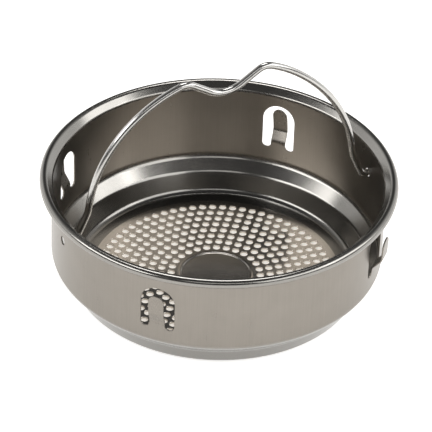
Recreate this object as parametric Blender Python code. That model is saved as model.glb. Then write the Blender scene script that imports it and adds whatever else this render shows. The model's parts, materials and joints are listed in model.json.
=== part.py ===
"""Lift-out basket strainer of a kitchen sink drain, in metres, +Z up.

The origin is the centre of the resting face. The pivots of the bail lie along X, and the four
spring tongues stand midway between the axes. Run with: blender --background --python part.py
"""
import math

import bmesh
import bpy
from mathutils import Vector

MM = 0.001

# Basket: one drawn sheet with a rolled rim, a conical step and a tapered lower band.
SHEET = 0.5 * MM
RIM_RADIUS = 55.0 * MM
BASKET_HEIGHT = 38.0 * MM
RIM_OVERHANG = 3.7 * MM
CURL_RADIUS = 1.45 * MM
CURL_TOP_ANGLE = math.radians(135)
CURL_END_ANGLE = math.radians(-100)
FLARE_FILLET = 1.2 * MM
STEP_WIDTH = 3.95 * MM
STEP_SLOPE = math.radians(45)
STEP_FILLET = 3.5 * MM
LIP_FILLET = 3.0 * MM
BAND_HEIGHT = 6.65 * MM
BAND_TAPER = math.radians(26)
BASE_FILLET = 2.75 * MM
FLOOR_LEDGE = 3.0 * MM
SEAM = 0.3 * MM

# Perforated floor: concentric rings of holes round a plain centre.
HOLE_DIAMETER = 2.3 * MM
HOLE_PITCH = 3.125 * MM
FIRST_RING_RADIUS = 13.93 * MM
HOLES_ADDED_PER_RING = 6
HOLE_LINE = math.radians(53)
FLOOR_MARGIN = 2.4 * MM
HOLE_SIDES = 4

# Spring tongues, lanced out of the wall between the bail's pivots.
TONGUE_COUNT = 4
TONGUE_WIDTH = 4.85 * MM
TONGUE_JOGGLE = 2.6 * MM
TONGUE_FLARE = 0.3 * MM
TONGUE_ROOT = 2.1 * MM
TONGUE_RAMP = 3.5 * MM
TONGUE_BEND = 1.4 * MM
SLOT_WIDTH = 2.95 * MM
WINDOW_HEIGHT = 15.8 * MM
WINDOW_RISE = 1.15 * MM
WINDOW_CORNER = 1.2 * MM
TONGUE_TIP_GAP = 2.7 * MM

# Bail: a bent wire whose ends turn in two holes of the wall.
WIRE_DIAMETER = 2.2 * MM
WIRE_CLEARANCE = 0.3 * MM
PIVOT_RISE = 3.65 * MM
BAIL_INSET = 6.7 * MM
BAIL_ARC_RISE = 5.3 * MM
BAIL_LEG_ANGLE = math.radians(8)
BAIL_SHOULDER_ANGLE = math.radians(70)
HUMP_HALF_SPACING = 12.3 * MM
HUMP_SLOPE = math.radians(32)
HUMP_RADIUS = 5.0 * MM
DIP_RADIUS = 10.0 * MM
ANKLE_DROP = 3.2 * MM
ANKLE_RADIUS = 12.0 * MM
FOOT_LEAN = math.radians(24)
FOOT_RADIUS = 2.0 * MM
END_PROTRUSION = 0.7 * MM

# Facets.
MERGE_DISTANCE = 0.01 * MM
TURN_STEPS = 60
FLOOR_STEPS = 48
BORE_STEPS = 16
TIP_ANGLES = (30, 55, 75)
ARC_STEP = math.radians(30)
WIRE_ARC_STEP = math.radians(11)
WIRE_BEVEL_RESOLUTION = 3

# Sizes that follow.
WALL_OUTER = RIM_RADIUS - RIM_OVERHANG
WALL_MIDDLE = WALL_OUTER - SHEET / 2
WALL_INNER = WALL_OUTER - SHEET
LIP_RADIUS = WALL_MIDDLE - STEP_WIDTH
BASE_RADIUS = LIP_RADIUS - (BAND_HEIGHT - SHEET / 2) * math.tan(BAND_TAPER)
FLAT_RADIUS = BASE_RADIUS - BASE_FILLET * math.tan((math.pi / 2 - BAND_TAPER) / 2)
PANEL_RADIUS = FLAT_RADIUS - FLOOR_LEDGE
STEP_TOP = BAND_HEIGHT + STEP_WIDTH * math.tan(STEP_SLOPE)
CURL_CENTRE = Vector((RIM_RADIUS - CURL_RADIUS, BASKET_HEIGHT - CURL_RADIUS))
WALL_CENTRE = (STEP_TOP + BASKET_HEIGHT - 2 * CURL_RADIUS) / 2
WINDOW_WIDTH = TONGUE_WIDTH + 2 * SLOT_WIDTH
WINDOW_BOTTOM = WALL_CENTRE + WINDOW_RISE - WINDOW_HEIGHT / 2
WINDOW_TOP = WINDOW_BOTTOM + WINDOW_HEIGHT
PIVOT_HEIGHT = WALL_CENTRE + PIVOT_RISE


def clear_scene():
    """Remove every object of the open scene."""
    for obj in list(bpy.data.objects):
        bpy.data.objects.remove(obj, do_unlink=True)


def steel(name, colour, roughness):
    """A stainless steel with its own colour and polish."""
    material = bpy.data.materials.new(name)
    material.use_nodes = True
    shader = material.node_tree.nodes["Principled BSDF"]
    shader.inputs["Base Color"].default_value = (*colour, 1.0)
    shader.inputs["Metallic"].default_value = 1.0
    shader.inputs["Roughness"].default_value = roughness
    return material


def new_object(name, bm, material=None):
    """Link a bmesh as an object, with its faces turned outwards."""
    bmesh.ops.recalc_face_normals(bm, faces=bm.faces)
    mesh = bpy.data.meshes.new(name)
    bm.to_mesh(mesh)
    bm.free()
    obj = bpy.data.objects.new(name, mesh)
    bpy.context.scene.collection.objects.link(obj)
    if material:
        mesh.materials.append(material)
    return obj


def smooth(obj):
    """Shade round faces smooth and keep sheet edges sharp."""
    obj.data.shade_smooth()
    obj.data.set_sharp_from_angle(angle=math.radians(35))


def cut(obj, cutter):
    """Subtract a cutter, which is left out of the part."""
    cutter.hide_render = True
    cutter.display_type = "WIRE"
    boolean = obj.modifiers.new(cutter.name, "BOOLEAN")
    boolean.operation = "DIFFERENCE"
    boolean.solver = "EXACT"
    boolean.object = cutter


def rounded_path(corners, step):
    """Points of a line through (point, radius) corners, each rounded by a tangent arc."""
    points = [corners[0][0].copy()]
    for (before, _), (corner, radius), (after, _) in zip(corners, corners[1:], corners[2:]):
        incoming = (corner - before).normalized()
        outgoing = (after - corner).normalized()
        turn = incoming.angle_signed(outgoing)
        reach = radius * math.tan(abs(turn) / 2)
        start = corner - incoming * reach
        side = Vector((-incoming.y, incoming.x)) * -math.copysign(1, turn)
        centre = start + side * radius
        count = max(1, math.ceil(abs(turn) / step))
        for index in range(count + 1):
            angle = turn * index / count
            points.append(centre + rotated(start - centre, -angle))
    points.append(corners[-1][0].copy())
    return points


def rotated(vector, angle):
    """A 2-D vector turned anticlockwise."""
    cosine, sine = math.cos(angle), math.sin(angle)
    return Vector((vector.x * cosine - vector.y * sine, vector.x * sine + vector.y * cosine))


def offset_path(points, distance):
    """The path moved sideways to its left by distance, with mitred corners."""
    moved = []
    for index, point in enumerate(points):
        ahead = points[min(index + 1, len(points) - 1)]
        behind = points[max(index - 1, 0)]
        first = (point - behind).normalized() if index else (ahead - point).normalized()
        second = (ahead - point).normalized() if index < len(points) - 1 else first
        left_first = Vector((-first.y, first.x))
        left_second = Vector((-second.y, second.x))
        mitre = (left_first + left_second) / (1 + left_first.dot(left_second))
        moved.append(point + mitre * distance)
    return moved


def sheet_centre_line():
    """Radius and height along the middle of the sheet, from the curl's end to the floor."""
    radius = CURL_RADIUS - SHEET / 2
    count = math.ceil((CURL_TOP_ANGLE - CURL_END_ANGLE) / ARC_STEP)
    curl = []
    for index in range(count + 1):
        angle = CURL_END_ANGLE + (CURL_TOP_ANGLE - CURL_END_ANGLE) * index / count
        curl.append(CURL_CENTRE + Vector((math.cos(angle), math.sin(angle))) * radius)
    start = curl[-1]
    run = start.x - WALL_MIDDLE
    flare_foot = start.y - run * math.tan(CURL_TOP_ANGLE - math.pi / 2)
    corners = [
        (start, 0),
        (Vector((WALL_MIDDLE, flare_foot)), FLARE_FILLET),
        (Vector((WALL_MIDDLE, STEP_TOP)), STEP_FILLET),
        (Vector((LIP_RADIUS, BAND_HEIGHT)), LIP_FILLET),
        (Vector((BASE_RADIUS, SHEET / 2)), BASE_FILLET),
        (Vector((PANEL_RADIUS + SEAM, SHEET / 2)), 0),
    ]
    return curl[:-1] + rounded_path(corners, ARC_STEP)


def turn_profile(name, loop, steps, material):
    """Spin a closed loop of (radius, height) points round Z."""
    bm = bmesh.new()
    verts = [bm.verts.new((point.x, 0, point.y)) for point in loop]
    edges = [bm.edges.new((verts[i - 1], verts[i])) for i in range(len(verts))]
    full_turn = 2 * math.pi
    bmesh.ops.spin(bm, geom=verts + edges, axis=(0, 0, 1), angle=full_turn, steps=steps, use_merge=True)
    bmesh.ops.remove_doubles(bm, verts=bm.verts, dist=MERGE_DISTANCE)
    return new_object(name, bm, material)


def extrude_outline(bm, outline, place, depth):
    """Add a prism: outline points (u, v) put in space by place, pushed along the vector depth."""
    base = bm.faces.new([bm.verts.new(place(point)) for point in outline])
    pushed = bmesh.ops.extrude_face_region(bm, geom=[base])
    moved = [item for item in pushed["geom"] if isinstance(item, bmesh.types.BMVert)]
    bmesh.ops.translate(bm, verts=moved, vec=depth)


def window_outline():
    """Tangential and vertical points of a window: round at the top, small corners at the foot."""
    half = WINDOW_WIDTH / 2
    spring = WINDOW_TOP - half
    foot = [
        (Vector((half, spring)), 0),
        (Vector((half, WINDOW_BOTTOM)), WINDOW_CORNER),
        (Vector((-half, WINDOW_BOTTOM)), WINDOW_CORNER),
        (Vector((-half, spring)), 0),
    ]
    outline = rounded_path(foot, ARC_STEP)
    count = math.ceil(math.pi / ARC_STEP) * 2
    for index in range(1, count):
        angle = math.pi - math.pi * index / count
        outline.append(Vector((half * math.cos(angle), spring + half * math.sin(angle))))
    return outline


def tongue_azimuths():
    """Angles round Z of the tongues, midway between the bail's pivots and the axes."""
    pitch = 2 * math.pi / TONGUE_COUNT
    return [pitch * (index + 0.5) for index in range(TONGUE_COUNT)]


def window_cutter():
    """One cutter for all windows of the wall."""
    bm = bmesh.new()
    reach = RIM_OVERHANG
    for azimuth in tongue_azimuths():
        radial = Vector((math.cos(azimuth), math.sin(azimuth), 0))
        tangent = Vector((-radial.y, radial.x, 0))

        def place(point):
            return radial * (WALL_MIDDLE - reach) + tangent * point.x + Vector((0, 0, point.y))

        extrude_outline(bm, window_outline(), place, radial * 2 * reach)
    return new_object("window_cutter", bm)


def pivot_cutter():
    """A rod along X that bores both holes of the bail."""
    radius = WIRE_DIAMETER / 2 + WIRE_CLEARANCE
    reach = WALL_OUTER + RIM_OVERHANG
    bm = bmesh.new()
    outline = []
    for index in range(BORE_STEPS):
        angle = 2 * math.pi * (index + 0.5) / BORE_STEPS
        outline.append(Vector((radius * math.cos(angle), radius * math.sin(angle))))

    def place(point):
        return Vector((-reach, point.x, PIVOT_HEIGHT + point.y))

    extrude_outline(bm, outline, place, Vector((2 * reach, 0, 0)))
    return new_object("pivot_cutter", bm)


def build_basket(material):
    """The drawn basket with its windows and the two holes of the bail."""
    centre_line = sheet_centre_line()
    outside = offset_path(centre_line, SHEET / 2)
    inside = offset_path(centre_line, -SHEET / 2)
    basket = turn_profile("basket_body", outside + inside[::-1], TURN_STEPS, material)
    smooth(basket)
    cut(basket, window_cutter())
    cut(basket, pivot_cutter())
    return basket


def hole_places():
    """Radius and azimuth of each hole, in rings that all have a hole on one straight line."""
    room = PANEL_RADIUS - FLOOR_MARGIN - FIRST_RING_RADIUS
    rings = int(room / HOLE_PITCH) + 1
    first_count = round(2 * math.pi * FIRST_RING_RADIUS / HOLE_PITCH)
    places = []
    for ring in range(rings):
        radius = FIRST_RING_RADIUS + ring * HOLE_PITCH
        count = first_count + HOLES_ADDED_PER_RING * ring
        for index in range(count):
            places.append((radius, HOLE_LINE + 2 * math.pi * index / count))
    return places


def hole_cutter():
    """All holes of the floor as prisms of the round hole's area, square to their rings."""
    corner_angle = 2 * math.pi / HOLE_SIDES
    round_area = math.pi * (HOLE_DIAMETER / 2) ** 2
    reach = math.sqrt(2 * round_area / (HOLE_SIDES * math.sin(corner_angle)))
    bm = bmesh.new()
    for radius, azimuth in hole_places():
        centre = Vector((radius * math.cos(azimuth), radius * math.sin(azimuth), -SHEET))
        outline = []
        for index in range(HOLE_SIDES):
            angle = azimuth + corner_angle * (index + 0.5)
            outline.append(Vector((reach * math.cos(angle), reach * math.sin(angle))))

        def place(point):
            return centre + Vector((point.x, point.y, 0))

        extrude_outline(bm, outline, place, Vector((0, 0, 3 * SHEET)))
    return new_object("hole_cutter", bm)


def build_floor(material):
    """The perforated floor of the basket, a flat disc."""
    bm = bmesh.new()
    outline = []
    for index in range(FLOOR_STEPS):
        angle = 2 * math.pi * index / FLOOR_STEPS
        outline.append(Vector((PANEL_RADIUS * math.cos(angle), PANEL_RADIUS * math.sin(angle))))
    extrude_outline(bm, outline, lambda point: Vector((point.x, point.y, 0)), Vector((0, 0, SHEET)))
    panel = new_object("perforated_floor", bm, material)
    cut(panel, hole_cutter())
    return panel


def tongue_stations():
    """Radial offset, height and half width along a tongue, from its root to its round tip."""
    root = WINDOW_BOTTOM + SEAM
    half = TONGUE_WIDTH / 2
    tip = WINDOW_TOP - TONGUE_TIP_GAP
    corners = [
        (Vector((0, root)), 0),
        (Vector((0, root + TONGUE_ROOT)), TONGUE_BEND),
        (Vector((TONGUE_JOGGLE, root + TONGUE_ROOT + TONGUE_RAMP)), TONGUE_BEND),
        (Vector((TONGUE_JOGGLE + TONGUE_FLARE, tip - half)), 0),
    ]
    stations = [(point, half) for point in rounded_path(corners, ARC_STEP)]
    shoulder, lean = stations[-1][0], (corners[-1][0] - corners[-2][0]).normalized()
    for angle in map(math.radians, TIP_ANGLES):
        stations.append((shoulder + lean * half * math.sin(angle), half * math.cos(angle)))
    return stations


def build_tongues(material):
    """The four spring tongues, each with its origin on the line where it bends at the root."""
    stations = tongue_stations()
    points = [point for point, _ in stations]
    outer = offset_path(points, -SHEET / 2)
    inner = offset_path(points, SHEET / 2)
    hinge = Vector((WALL_MIDDLE, WINDOW_BOTTOM + SEAM))
    tongues = []
    for number, azimuth in enumerate(tongue_azimuths(), start=1):
        bm = bmesh.new()
        rings = []
        for (_, half), out, into in zip(stations, outer, inner):
            height_out = out.y - hinge.y
            height_in = into.y - hinge.y
            corners = [
                (out.x, -half, height_out), (out.x, half, height_out),
                (into.x, half, height_in), (into.x, -half, height_in),
            ]
            rings.append([bm.verts.new(corner) for corner in corners])
        for lower, upper in zip(rings, rings[1:]):
            for side in range(4):
                bm.faces.new((lower[side - 1], lower[side], upper[side], upper[side - 1]))
        bm.faces.new(rings[0])
        bm.faces.new(rings[-1])
        tongue = new_object(f"spring_tongue_{number}", bm, material)
        tongue.location = (hinge.x * math.cos(azimuth), hinge.x * math.sin(azimuth), hinge.y)
        tongue.rotation_euler.z = azimuth
        smooth(tongue)
        tongues.append(tongue)
    return tongues


def bail_half():
    """Corners of one half of the bail, from the dip in the middle to the end in the wall."""
    radius = WALL_INNER - BAIL_INSET
    centre = Vector((0, BAIL_ARC_RISE))
    sweep = BAIL_SHOULDER_ANGLE - BAIL_LEG_ANGLE
    along_shoulder = Vector((-math.sin(BAIL_SHOULDER_ANGLE), math.cos(BAIL_SHOULDER_ANGLE)))
    along_leg = Vector((math.sin(BAIL_LEG_ANGLE), -math.cos(BAIL_LEG_ANGLE)))
    shoulder = centre + Vector((math.cos(BAIL_SHOULDER_ANGLE), math.sin(BAIL_SHOULDER_ANGLE))) * radius
    leg = centre + Vector((math.cos(BAIL_LEG_ANGLE), math.sin(BAIL_LEG_ANGLE))) * radius
    arc_corner = shoulder - along_shoulder * radius * math.tan(sweep / 2)
    hump_reach = (shoulder.x - HUMP_HALF_SPACING) / math.sin(BAIL_SHOULDER_ANGLE)
    hump = shoulder + along_shoulder * hump_reach
    dip = Vector((0, hump.y - hump.x * math.tan(HUMP_SLOPE)))
    ankle = leg + along_leg * ANKLE_DROP
    foot = Vector((ankle.x + ankle.y * math.tan(FOOT_LEAN), 0))
    end = Vector((WALL_OUTER + END_PROTRUSION, 0))
    return [
        (dip, DIP_RADIUS),
        (hump, HUMP_RADIUS),
        (arc_corner, radius),
        (ankle, ANKLE_RADIUS),
        (foot, FOOT_RADIUS),
        (end, 0),
    ]


def build_bail(material):
    """The wire handle, upright, with its origin on the axis of its two ends."""
    half = bail_half()
    mirrored = [(Vector((-point.x, point.y)), radius) for point, radius in half[:0:-1]]
    path = rounded_path(mirrored + half, WIRE_ARC_STEP)
    curve = bpy.data.curves.new("bail_handle", "CURVE")
    curve.dimensions = "3D"
    curve.twist_mode = "MINIMUM"
    curve.bevel_depth = WIRE_DIAMETER / 2
    curve.bevel_resolution = WIRE_BEVEL_RESOLUTION
    curve.use_fill_caps = True
    spline = curve.splines.new("POLY")
    spline.points.add(len(path) - 1)
    for slot, point in zip(spline.points, path):
        slot.co = (point.x, 0, point.y, 1)
    spline.use_smooth = True
    curve.materials.append(material)
    bail = bpy.data.objects.new("bail_handle", curve)
    bpy.context.scene.collection.objects.link(bail)
    bail.location.z = PIVOT_HEIGHT
    return bail


def main():
    """Build the strainer."""
    clear_scene()
    build_basket(steel("satin_steel", (0.56, 0.54, 0.51), 0.32))
    build_floor(steel("polished_steel", (0.60, 0.59, 0.57), 0.18))
    build_tongues(steel("tongue_steel", (0.54, 0.52, 0.49), 0.30))
    build_bail(steel("bright_wire", (0.66, 0.65, 0.63), 0.12))


main()
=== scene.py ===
"""The looks of a lift-out sink basket strainer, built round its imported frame.

Every length is in metres and every piece stays where the frame has it: the origin is the centre of
the resting face, +Z is up, and the handle turns about an axis along X.
"""

from __future__ import annotations

import json
import logging
import math
from collections.abc import Callable, Mapping, Sequence
from dataclasses import dataclass, field
from enum import Enum
from typing import Any

import bmesh
import bpy
import numpy as np
from mathutils import Matrix, Vector
from mathutils.geometry import delaunay_2d_cdt

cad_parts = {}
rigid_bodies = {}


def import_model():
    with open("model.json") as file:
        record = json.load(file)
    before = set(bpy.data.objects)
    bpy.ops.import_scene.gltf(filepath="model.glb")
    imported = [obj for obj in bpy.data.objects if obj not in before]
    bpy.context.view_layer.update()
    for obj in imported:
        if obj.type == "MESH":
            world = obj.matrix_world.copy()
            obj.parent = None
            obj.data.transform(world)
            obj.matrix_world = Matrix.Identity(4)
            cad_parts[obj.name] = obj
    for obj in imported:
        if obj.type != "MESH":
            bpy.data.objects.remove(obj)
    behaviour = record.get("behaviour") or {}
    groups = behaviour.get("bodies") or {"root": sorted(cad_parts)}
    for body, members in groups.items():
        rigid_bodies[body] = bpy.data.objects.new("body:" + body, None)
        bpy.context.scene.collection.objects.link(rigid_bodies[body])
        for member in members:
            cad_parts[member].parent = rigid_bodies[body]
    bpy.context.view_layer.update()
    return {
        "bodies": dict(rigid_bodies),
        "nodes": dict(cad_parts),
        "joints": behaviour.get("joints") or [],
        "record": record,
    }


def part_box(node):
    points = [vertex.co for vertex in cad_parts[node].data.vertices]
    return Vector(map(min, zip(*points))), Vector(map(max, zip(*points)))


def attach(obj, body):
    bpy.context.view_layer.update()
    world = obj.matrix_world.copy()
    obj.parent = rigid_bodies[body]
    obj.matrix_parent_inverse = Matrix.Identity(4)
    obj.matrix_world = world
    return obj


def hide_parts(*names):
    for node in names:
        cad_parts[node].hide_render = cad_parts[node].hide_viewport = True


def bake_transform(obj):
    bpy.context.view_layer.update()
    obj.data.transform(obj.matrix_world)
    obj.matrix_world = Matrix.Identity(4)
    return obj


MM = 0.001
TURN = 2 * math.pi
HAIR = 1e-9

Piece = bpy.types.Object
Material = bpy.types.Material
Colour = tuple[float, float, float]
Flat = Sequence[float]
Faces = list[tuple[int, ...]]
Pair = tuple[np.ndarray, np.ndarray]
Placer = Callable[[np.ndarray], Pair]
Method = Callable[["Value", Any], "Value"]

log = logging.getLogger("strainer")


# --- Node trees ---


def operators(operation: str) -> tuple[Method, Method]:
    """Return an operator's plain and reflected methods.

    Args:
        operation: Name of the Math node's operation.

    Returns:
        The methods, each of which adds one Math node.
    """

    def plain(value: Value, other: Any) -> Value:
        """Put the value first."""
        return value.math(operation, other)

    def reflected(value: Value, other: Any) -> Value:
        """Put the value second."""
        return value.tree.add("ShaderNodeMath", {"operation": operation}, {0: other, 1: value})

    return plain, reflected


class Value:
    """An output socket that takes part in arithmetic: an expression adds its Math nodes."""

    def __init__(self, tree: Tree, socket: bpy.types.NodeSocket) -> None:
        """Wrap a socket of a tree."""
        self.tree = tree
        self.socket = socket

    def math(self, operation: str, *operands: Any) -> Value:
        """Run this value and its operands through a Math node.

        Args:
            operation: Name of the Math node's operation.
            operands: The values, numbers or links after the first.

        Returns:
            The result as a value of the same tree.
        """
        values = dict(enumerate((self, *operands)))
        return self.tree.add("ShaderNodeMath", {"operation": operation}, values)

    __add__, __radd__ = operators("ADD")
    __sub__, __rsub__ = operators("SUBTRACT")
    __mul__, __rmul__ = operators("MULTIPLY")
    __truediv__, __rtruediv__ = operators("DIVIDE")
    __pow__, __rpow__ = operators("POWER")

    def floor(self) -> Value:
        """Return the whole number below."""
        return self.math("FLOOR")

    def ease(self, low: float, high: float) -> Value:
        """Return a smooth step from 0 at low to 1 at high.

        Args:
            low: Where the step begins.
            high: Where it ends.

        Returns:
            The step as a value of the same tree.
        """
        return self.tree.add(
            "ShaderNodeMapRange",
            {"interpolation_type": "SMOOTHSTEP"},
            {"Value": self, "From Min": low, "From Max": high},
        )


class Tree:
    """A node tree of a material or of Geometry Nodes, filled by one generic method."""

    def __init__(self, nodes: bpy.types.NodeTree) -> None:
        """Take an empty or default node tree."""
        self.nodes = nodes

    def add(
        self,
        kind: str,
        settings: Mapping[str, Any] | None = None,
        inputs: Mapping[int | str, Any] | None = None,
        output: int | str = 0,
    ) -> Value:
        """Add a node.

        Args:
            kind: Blender's name of the node's type.
            settings: Properties, which are set before the sockets.
            inputs: Values or links by socket name or number.
            output: The output to return, by name or number.

        Returns:
            One of the node's outputs.
        """
        node = self.nodes.nodes.new(kind)
        for name, setting in (settings or {}).items():
            setattr(node, name, setting)
        for name, value in (inputs or {}).items():
            if isinstance(value, Value):
                self.nodes.links.new(value.socket, node.inputs[name])
            else:
                node.inputs[name].default_value = value
        return Value(self, node.outputs[output]) if node.outputs else Value(self, None)

    def mix(self, factor: Value, first: Value | Colour, second: Value | Colour) -> Value:
        """Return a colour between two others, each a link or a plain colour.

        Args:
            factor: Share of the second colour.
            first: Colour at 0.
            second: Colour at 1.

        Returns:
            The mixed colour.
        """
        ends = [end if isinstance(end, Value) else (*end, 1.0) for end in (first, second)]
        inputs = {"Factor": factor, "A": ends[0], "B": ends[1]}
        return self.add("ShaderNodeMix", {"data_type": "RGBA"}, inputs, "Result")

    def axis(self, place: Value, name: str) -> Value:
        """Return a place's coordinate X, Y or Z."""
        return self.add("ShaderNodeSeparateXYZ", inputs={"Vector": place}, output=name)


class Recipe(Tree):
    """A Geometry Nodes tree with named inputs, run once on an object and made a plain mesh."""

    KINDS = {float: "NodeSocketFloat", int: "NodeSocketInt"}

    def __init__(
        self, name: str, sizes: Mapping[str, float | int], material: Material
    ) -> None:
        """Start a tree.

        Args:
            name: The tree's name.
            sizes: The named inputs and what they are set to.
            material: The material that the result wears.
        """
        super().__init__(bpy.data.node_groups.new(name, "GeometryNodeTree"))
        self.sizes = dict(sizes)
        self.material = material
        interface = self.nodes.interface
        interface.new_socket("Geometry", in_out="INPUT", socket_type="NodeSocketGeometry")
        for size, value in self.sizes.items():
            interface.new_socket(size, in_out="INPUT", socket_type=self.KINDS[type(value)])
        interface.new_socket("Geometry", in_out="OUTPUT", socket_type="NodeSocketGeometry")
        self.entry = self.nodes.nodes.new("NodeGroupInput")

    def __getitem__(self, name: str) -> Value:
        """Return a named input of the tree."""
        return Value(self, self.entry.outputs[name])

    def placed(self, piece: Value, dots: Value, turn: Value) -> Value:
        """Return a piece set on every dot, turned as the dot's own turn says."""
        inputs = {"Points": dots, "Instance": piece, "Rotation": turn}
        return self.add("GeometryNodeInstanceOnPoints", inputs=inputs)

    def joined(self, *parts: Value) -> Value:
        """Return several geometries as one.

        Args:
            parts: The geometries.

        Returns:
            The joined geometry.
        """
        node = self.nodes.nodes.new("GeometryNodeJoinGeometry")
        for part in parts:
            self.nodes.links.new(part.socket, node.inputs[0])
        return Value(self, node.outputs[0])

    def circle(self, sides: Value, radius: Value) -> Value:
        """Return a circle of straight sides about the origin."""
        sizes = {"Resolution": sides, "Radius": radius}
        return self.add("GeometryNodeCurvePrimitiveCircle", {"mode": "RADIUS"}, sizes)

    def lifted(self, geometry: Value, height: Value | float) -> Value:
        """Return a geometry moved up."""
        rise = self.add("ShaderNodeCombineXYZ", inputs={"Z": height})
        return self.add("GeometryNodeTransform", inputs={"Geometry": geometry, "Translation": rise})

    def serve(self, geometry: Value) -> None:
        """End the tree with Realize Instances and Set Material.

        Args:
            geometry: The finished shape.
        """
        whole = self.add("GeometryNodeRealizeInstances", inputs={"Geometry": geometry})
        dress = {"Geometry": whole, "Material": self.material}
        dressed = self.add("GeometryNodeSetMaterial", inputs=dress)
        self.add("NodeGroupOutput", inputs={"Geometry": dressed})

    def make(self, source: Piece, name: str) -> Piece:
        """Run the tree on a source object, which is used up.

        Args:
            source: The mesh or curve that enters the tree.
            name: Name of the finished piece.

        Returns:
            A new mesh object with the result.
        """
        modifier = source.modifiers.new(self.nodes.name, "NODES")
        modifier.node_group = self.nodes
        for item in self.nodes.interface.items_tree:
            if item.in_out == "INPUT" and item.name in self.sizes:
                modifier[item.identifier] = self.sizes[item.name]
        graph = bpy.context.evaluated_depsgraph_get()
        graph.update()
        mesh = bpy.data.meshes.new_from_object(source.evaluated_get(graph))
        source.modifiers.remove(modifier)
        bpy.data.objects.remove(source, do_unlink=True)
        return link(name, mesh)


def link(name: str, data: bpy.types.ID) -> Piece:
    """Put a mesh, curve, light or camera in the scene, at the origin, as an object of its name.

    Args:
        name: Name of the object and of its data.
        data: The mesh, curve, light or camera.

    Returns:
        The object.
    """
    data.name = name
    piece = bpy.data.objects.new(name, data)
    bpy.context.scene.collection.objects.link(piece)
    return piece


# --- Finishes ---


class Grain(Enum):
    """The way the fine lines of a steel surface run."""

    UPRIGHT = (1.0, 1.0, 0.02)
    TURNED = (0.0, 0.0, 0.0)
    EVEN = (1.0, 1.0, 1.0)


@dataclass(frozen=True)
class Steel:
    """Bare stainless steel.

    Attributes:
        name: Name of the material.
        colour: Colour of its reflections.
        roughness: Roughness of the plain surface.
        grain: Direction of its fine lines.
    """

    name: str
    colour: Colour
    roughness: float
    grain: Grain = Grain.EVEN

    GRAIN_SCALE = 2600.0
    GRAIN_DEPTH = 0.00015 * MM
    GRAIN_ROUGHNESS = 0.05
    WAVE_SCALE = 75.0
    WAVE_DEPTH = 0.002 * MM
    SMUDGE_SCALE = 140.0
    SMUDGE_ROUGHNESS = 0.06
    SCRATCH_SCALE = 700.0
    SCRATCH_ROUGHNESS = 0.04
    TONE_RANGE = 0.15

    def material(self) -> Material:
        """Return the finish as a new material.

        Returns:
            The material.
        """
        material = bpy.data.materials.new(self.name)
        material.use_nodes = True
        tree = Tree(material.node_tree)
        shader = material.node_tree.nodes["Principled BSDF"]
        shader.inputs["Metallic"].default_value = 1.0
        place = tree.add("ShaderNodeTexCoord", output="Object")
        fine = self.lines(tree, place)
        smudges = self.noise(tree, place, self.SMUDGE_SCALE, 4.0)
        marks = (smudges - 0.5) * self.SMUDGE_ROUGHNESS + (fine - 0.5) * self.GRAIN_ROUGHNESS
        roughness = self.surface_roughness(tree, place) + marks
        tone = self.tone(tree, place, fine * 0.5 + smudges * 0.5)
        waves = self.noise(tree, place, self.WAVE_SCALE, 1.0)
        broad = {"Strength": 1.0, "Distance": self.WAVE_DEPTH, "Height": waves}
        narrow = {"Strength": 1.0, "Distance": self.GRAIN_DEPTH, "Height": fine}
        narrow["Normal"] = tree.add("ShaderNodeBump", inputs=broad)
        normal = tree.add("ShaderNodeBump", inputs=narrow)
        for socket, value in (("Base Color", tone), ("Roughness", roughness), ("Normal", normal)):
            material.node_tree.links.new(value.socket, shader.inputs[socket])
        return material

    @staticmethod
    def shades(tree: Tree, light: Value, colour: Colour, span: float) -> Value:
        """Return a colour darker by a share where light is 0 and as much lighter where it is 1."""
        ends = [tuple(channel * (1 + way * span) for channel in colour) for way in (-1, 1)]
        return tree.mix(light, *ends)

    def tone(self, tree: Tree, place: Value, light: Value) -> Value:
        """Return the colour at each point, from the darker tone at 0 to the lighter at 1."""
        return self.shades(tree, light, self.colour, self.TONE_RANGE)

    def surface_roughness(self, tree: Tree, place: Value) -> Value:
        """Return the plain roughness at each point."""
        scratches = self.noise(tree, place, self.SCRATCH_SCALE, 1.0)
        return scratches * self.SCRATCH_ROUGHNESS + (self.roughness - self.SCRATCH_ROUGHNESS / 2)

    def lines(self, tree: Tree, place: Value) -> Value:
        """Return the fine lines as a height from 0 to 1.

        Args:
            tree: The material's tree.
            place: Place on the piece.

        Returns:
            The height.
        """
        if self.grain is Grain.TURNED:
            place = self.round_place(tree, place)
            stretch = (1.0, 1.0, 0.0)
        else:
            stretch = self.grain.value
        drawn = tree.add("ShaderNodeMapping", inputs={"Vector": place, "Scale": stretch})
        return self.noise(tree, drawn, self.GRAIN_SCALE, 3.0)

    @staticmethod
    def round_place(tree: Tree, place: Value) -> Value:
        """Return (radius, height, 0) of each point, on which noise draws circles.

        Args:
            tree: The material's tree.
            place: Place on the piece.

        Returns:
            The turned place.
        """
        x, y, z = (tree.axis(place, name) for name in "XYZ")
        radius = (x * x + y * y) ** 0.5
        return tree.add("ShaderNodeCombineXYZ", inputs={"X": radius, "Y": z, "Z": 0.0})

    @staticmethod
    def noise(tree: Tree, place: Value, scale: float, detail: float) -> Value:
        """Return noise from 0 to 1 at a scale."""
        inputs = {"Vector": place, "Scale": scale, "Detail": detail, "Roughness": 0.55}
        return tree.add("ShaderNodeTexNoise", inputs=inputs)


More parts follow.
